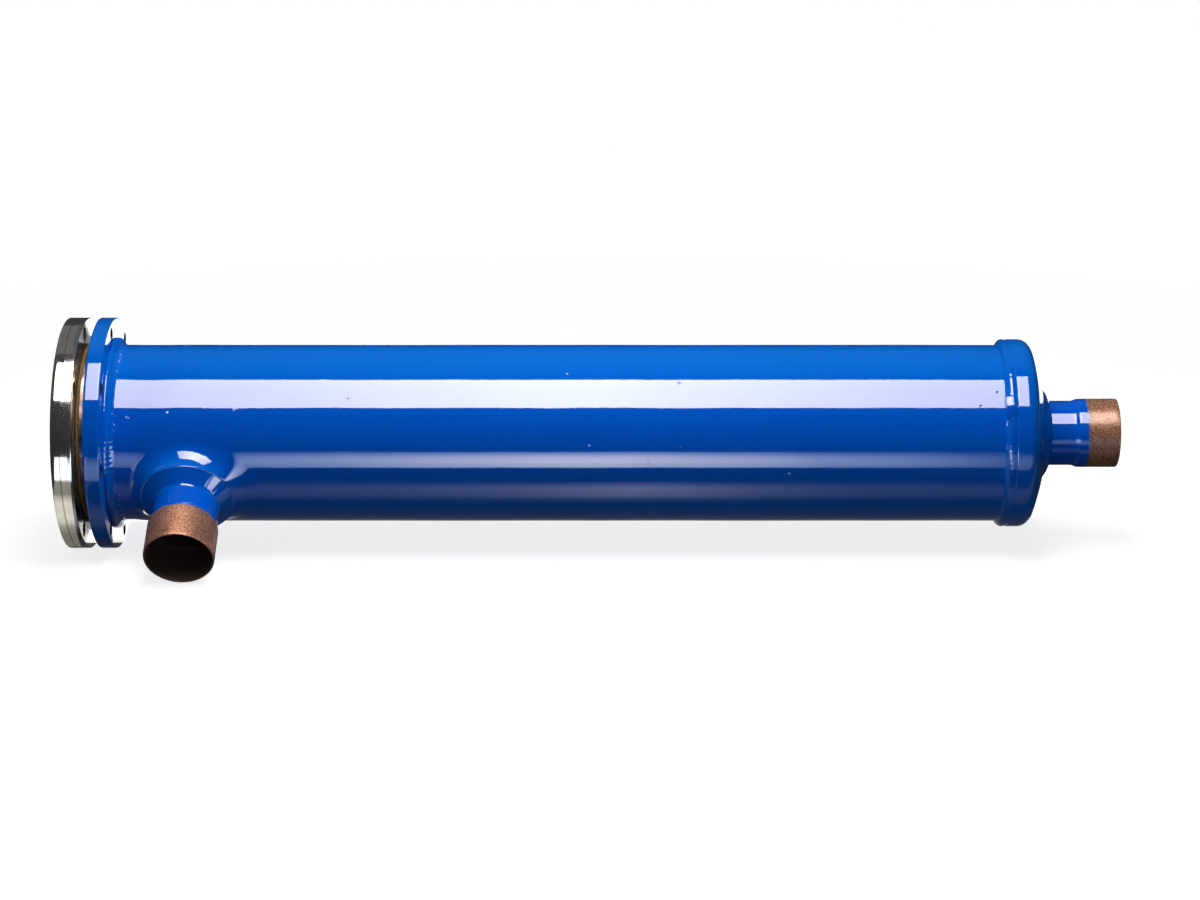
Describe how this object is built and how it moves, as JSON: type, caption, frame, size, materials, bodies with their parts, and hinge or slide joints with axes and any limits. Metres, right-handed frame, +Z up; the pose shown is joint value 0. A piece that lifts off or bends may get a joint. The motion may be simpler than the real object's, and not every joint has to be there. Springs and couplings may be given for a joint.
{
  "type": "filter drier shell",
  "caption": "Blue steel filter drier shell with a bolted cover, a dished end, and copper solder connections on the end and on the side.",
  "frame": {"origin": "centre of the bolt circle, on the face of the access flange that the hub stands on", "axes": "+X along the shell from the cover to the outlet connection, +Z up, inlet connection towards -Y and down"},
  "size_m": [0.6779, 0.1835, 0.1505],
  "materials": {
    "paint": "gloss blue paint",
    "copper": "dull oxidised copper, painted up to the socket",
    "turned_steel": "bare turned steel",
    "gasket": "matte fibre sheet",
    "desiccant": "matte porous",
    "felt": "felt",
    "plated_steel": "plated",
    "spring_steel": "oiled spring steel"
  },
  "bodies": {
    "root": {"shell_tube": "paint", "shell_flange": "paint", "end_cap": "paint", "flange_weld": "paint", "cap_weld": "paint", "inlet_weld": "paint", "outlet_weld": "paint", "inlet_connection": "copper", "outlet_connection": "copper", "cover": "turned_steel", "cover_gasket": "gasket", "outlet_seat": "plated_steel", "top_plate": "plated_steel", "tie_rod": "plated_steel", "rod_nut": "plated_steel", "core_spring": "spring_steel", "core_1": "desiccant", "core_2": "desiccant", "core_3": "desiccant", "core_4": "desiccant", "felt_1a": "felt", "felt_1b": "felt", "felt_2a": "felt", "felt_2b": "felt", "felt_3a": "felt", "felt_3b": "felt", "felt_4a": "felt", "felt_4b": "felt", "separator_1": "plated_steel", "separator_2": "plated_steel", "separator_3": "plated_steel"}
  },
  "joints": []
}
